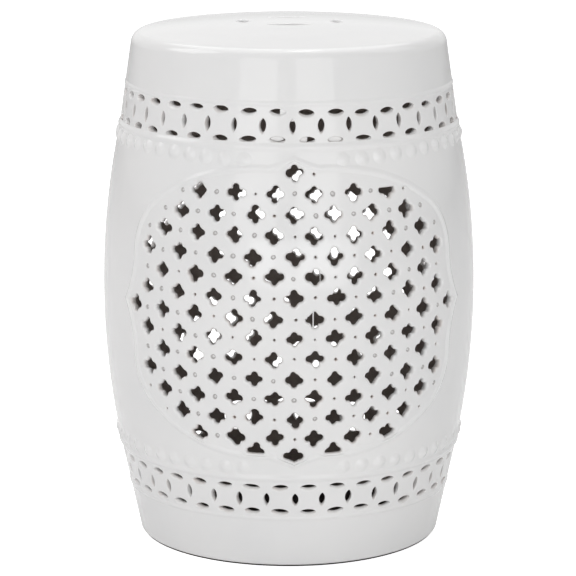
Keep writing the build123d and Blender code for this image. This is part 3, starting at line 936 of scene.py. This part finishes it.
# Plain foot with a rounded rim, bare underneath and inside
def foot_piece():
    skin = Skin()
    outside = [(float(outer_radius(z)), z) for z in np.linspace(Z_LOWER_BAND, Z_FOOT + FOOT_ROUND, 12)]
    edge = outside[-1][0]
    rim = []
    for f in np.radians(np.linspace(0, 90, 7))[1:]:
        rim.append((edge - FOOT_ROUND * (1 - math.cos(f)), Z_FOOT + FOOT_ROUND * (1 - math.sin(f))))
    revolved(skin, (outside + rim)[::-1], GLAZED)
    inner, z_flange = FOOT_RADIUS - FOOT_WIDTH, Z_FOOT + FLANGE_HEIGHT
    bare = [rim[-1], (inner + FLANGE_FILLET, Z_FOOT), (inner, Z_FOOT + FLANGE_FILLET), (inner, z_flange)]
    z_inside, z_between = z_flange + FOOT_WIDTH - WALL, 30.0
    bare += [(float(outer_radius(z)) - WALL, z) for z in (z_inside, z_between, Z_LOWER_BAND)]
    bare.append((float(outer_radius(Z_LOWER_BAND)), Z_LOWER_BAND))
    revolved(skin, bare[::-1], BARE)
    return skin.build("plain_foot", 50)


finish_piece(foot_piece(), "foot_ring")


# Shoulder with its rounded rim, and the domed seat set into it
def rim_centre(nr, nz):
    """Middle of the rim's rounding, which touches the dome and the wall, whose outside faces nr, nz."""
    r0, z0 = float(outer_radius(Z_RIM)), Z_RIM
    r, z = RIM_RADIUS - RIM_FILLET, Z_RIM - RIM_FILLET
    for _ in range(60):
        away = math.hypot(r, z - Z_DOME)
        dr, dz = r / away, (z - Z_DOME) / away
        from_wall = (r0 - r) * nr + (z0 - z) * nz - RIM_FILLET
        from_dome = DOME_RADIUS - away - RIM_FILLET
        det = nr * dz - nz * dr
        r += (from_wall * dz - from_dome * nz) / det
        z += (from_dome * nr - from_wall * dr) / det
    return r, z


def shoulder_piece():
    skin = Skin()
    top_lean = float(lean(Z_RIM))
    nr, nz = math.cos(top_lean), math.sin(top_lean)
    r, z = rim_centre(nr, nz)
    profile = [(float(outer_radius(v)), v) for v in np.linspace(Z_SHOULDER, z + RIM_FILLET * nz, 12)]
    normals = [(nr, nz)] * len(profile)
    for f in np.linspace(top_lean, math.atan2(z - Z_DOME, r), 14)[1:]:
        profile.append((r + RIM_FILLET * math.cos(f), z + RIM_FILLET * math.sin(f)))
        normals.append((math.cos(f), math.sin(f)))
    for v in np.linspace(profile[-1][0], SEAT_RADIUS, 4)[1:]:
        profile.append((v, float(seat_height(v))))
        normals.append((v / DOME_RADIUS, (float(seat_height(v)) - Z_DOME) / DOME_RADIUS))
    revolved(skin, profile, GLAZED, normals)
    z_ledge = float(seat_height(LEDGE_RADIUS)) - SEAT_THICKNESS
    z_haunch = z_ledge - LEDGE_DEPTH - HAUNCH_HEIGHT
    inner = [
        profile[-1],
        (SEAT_RADIUS, float(seat_height(SEAT_RADIUS)) - SEAT_THICKNESS),
        (LEDGE_RADIUS, z_ledge),
        (LEDGE_RADIUS, z_ledge - LEDGE_DEPTH),
        (float(outer_radius(z_haunch)) - WALL, z_haunch),
        (float(outer_radius(Z_SHOULDER)) - WALL, Z_SHOULDER),
        profile[0],
    ]
    revolved(skin, inner, BARE)
    return skin.build("round_shoulder", 60)


finish_piece(shoulder_piece(), "shoulder_ring")


def seat_piece():
    rng = random.Random(53)
    skin = Skin()
    a = np.arange(TURN_STEPS) * 2 * math.pi / TURN_STEPS
    border = np.stack([SEAT_RADIUS * np.sin(a), -SEAT_RADIUS * np.cos(a)], 1)
    holes = []
    for y in (CROSS_LENS_OFFSET, -CROSS_LENS_OFFSET):
        holes.append(Hole((0, y), lens(rng, *CROSS_LENS), SEAT_EDGE, SEAT_EDGE, 0.2))
    for place in SIDE_LENS_PLACES:
        holes.append(Hole(place, lens(rng, *SIDE_LENS, True), SEAT_EDGE, SEAT_EDGE, 0.0))
    rim = np.append(np.arange(TURN_STEPS), 0)
    pierced(skin, SEAT, border, holes, SEAT_THICKNESS, SEAT_SPACING, rims=(rim,))
    return skin.build("domed_seat")


finish_piece(seat_piece(), "seat_disc")

# The pieces that stay as the CAD made them
for name in ("left_seam_strip", "right_seam_strip", "seat_coil", "foot_pads"):
    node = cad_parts[name]
    node.data.materials.clear()
    node.data.materials.append(FELT if name == "foot_pads" else CLAY)


# Floor and studio, in metres
def seen_directly(nodes, links, mirrored):
    """1 for the camera's rays, and for mirror and glass rays the share of the background that they meet."""
    path = nodes.new("ShaderNodeLightPath")
    glossy, through = path.outputs["Is Glossy Ray"], path.outputs["Is Transmission Ray"]
    mirror = math_node(nodes, links, "MAXIMUM", glossy, through)
    shown = math_node(nodes, links, "MULTIPLY", mirror, mirrored)
    return math_node(nodes, links, "MAXIMUM", path.outputs["Is Camera Ray"], shown)


def floor_material():
    """White paper, with painted shade: dark inside the foot's circle."""
    material = bpy.data.materials.new("studio_floor")
    nodes, links = empty_tree(material)
    output = nodes.new("ShaderNodeOutputMaterial")
    paper = nodes.new("ShaderNodeBsdfDiffuse")
    coords = nodes.new("ShaderNodeTexCoord")
    cloud = noise(nodes, links, coords, 3.0)
    tone = ramp(nodes, links, cloud, (0.3, (0.89, 0.89, 0.89)), (0.7, (0.91, 0.91, 0.91)))
    reach = nodes.new("ShaderNodeVectorMath")
    reach.operation = "LENGTH"
    links.new(coords.outputs["Object"], reach.inputs[0])
    painted_shade_radius = FOOT_RADIUS * 0.001 - 0.0018
    outside = math_node(nodes, links, "GREATER_THAN", reach.outputs["Value"], painted_shade_radius)
    # Painted shade: dark paper under the stool, inside the foot's circle, which also gets no white to the
    # camera
    colour = mix(nodes, links, outside, (0.12, 0.11, 0.105), tone)
    links.new(colour, paper.inputs["Color"])
    strength = math_node(nodes, links, "MULTIPLY", seen_directly(nodes, links, 0.1), outside)
    level = math_node(nodes, links, "MULTIPLY", strength, 0.72)
    white = nodes.new("ShaderNodeEmission")
    links.new(level, white.inputs["Strength"])
    both = nodes.new("ShaderNodeAddShader")
    links.new(paper.outputs["BSDF"], both.inputs[0])
    links.new(white.outputs["Emission"], both.inputs[1])
    links.new(both.outputs["Shader"], output.inputs["Surface"])
    return material


floor_mesh = bpy.data.meshes.new("studio_floor")
floor_mesh.from_pydata([(-6, -6, 0), (6, -6, 0), (6, 6, 0), (-6, 6, 0)], [], [(0, 1, 2, 3)])
floor_mesh.materials.append(floor_material())
floor = bpy.data.objects.new("studio_floor", floor_mesh)
bpy.context.scene.collection.objects.link(floor)


def studio_world():
    """A plain room, white to the camera. Backdrop and ceiling show brighter in the glaze than the rest."""
    world = bpy.data.worlds.new("studio")
    nodes, links = empty_tree(world)
    output = nodes.new("ShaderNodeOutputWorld")
    both = nodes.new("ShaderNodeMixShader")
    for strength, socket in ((0.4, both.inputs[1]), (1.0, both.inputs[2])):
        white = nodes.new("ShaderNodeBackground")
        white.inputs["Color"].default_value = (1.0, 1.0, 1.0, 1)
        white.inputs["Strength"].default_value = strength
        links.new(white.outputs["Background"], socket)
    coords = nodes.new("ShaderNodeTexCoord")
    parts = nodes.new("ShaderNodeSeparateXYZ")
    links.new(coords.outputs["Generated"], parts.inputs[0])
    sheets = []
    for axis, low, high, most in (("Y", 0.95, 0.99, 0.6), ("Z", -0.1, 0.12, 0.9)):
        sheet = nodes.new("ShaderNodeMapRange")
        for name, value in (("From Min", low), ("From Max", high), ("To Min", 0.2), ("To Max", most)):
            sheet.inputs[name].default_value = value
        links.new(parts.outputs[axis], sheet.inputs["Value"])
        sheets.append(sheet.outputs["Result"])
    mirrored = math_node(nodes, links, "MAXIMUM", *sheets)
    links.new(seen_directly(nodes, links, mirrored), both.inputs["Fac"])
    links.new(both.outputs["Shader"], output.inputs["Surface"])
    return world


bpy.context.scene.world = studio_world()


def softbox(name, place, target, width, height, watts, colour=(1, 1, 1)):
    light = bpy.data.lights.new(name, "AREA")
    light.shape = "RECTANGLE"
    light.size, light.size_y = width, height
    light.energy = watts
    light.color = colour
    obj = bpy.data.objects.new(name, light)
    obj.location = place
    obj.rotation_euler = (Vector(target) - Vector(place)).to_track_quat("-Z", "Y").to_euler()
    bpy.context.scene.collection.objects.link(obj)


def round_axis(azimuth, distance, height):
    a = math.radians(azimuth)
    return (distance * math.sin(a), -distance * math.cos(a), height)


softbox("left_box", round_axis(-22.3, 2.2, 0.95), (0, 0, 0.6), 1.056, 1.8, 7.1)
softbox("right_box", round_axis(16.5, 2.2, 0.95), (0, 0, 0.6), 1.02, 1.8, 7.2)
softbox("left_fill", round_axis(-95, 2.4, 2.7), (0, 0, 0.3), 1.6, 1.8, 22.5, (1.0, 0.98, 0.988))
softbox("right_fill", round_axis(100, 2.4, 2.7), (0, 0, 0.3), 1.6, 1.8, 8)
softbox("front_fill", (0.25, -1.9, 0.16), (0, 0, 0.1), 2.4, 0.28, 3.8)
softbox("glint_box", (0.16, 0.6, 2.4), (0, 0, 0.4), 0.24, 0.6, 1.6)
softbox("top_box", (0, 0.9, 2.5), (0, 0, 0.4), 2.4, 2.4, 24)

camera = bpy.data.cameras.new("camera")
camera.sensor_width = 36
camera.lens = 183.0
camera.shift_x = -0.0016
view = bpy.data.objects.new("camera", camera)
view.location = (-0.0672, -2.5683, 0.7802)
view.rotation_euler = (math.radians(77.673), 0, math.radians(-1.5))
bpy.context.scene.collection.objects.link(view)
bpy.context.scene.camera = view
bpy.context.scene.view_settings.view_transform = "Standard"
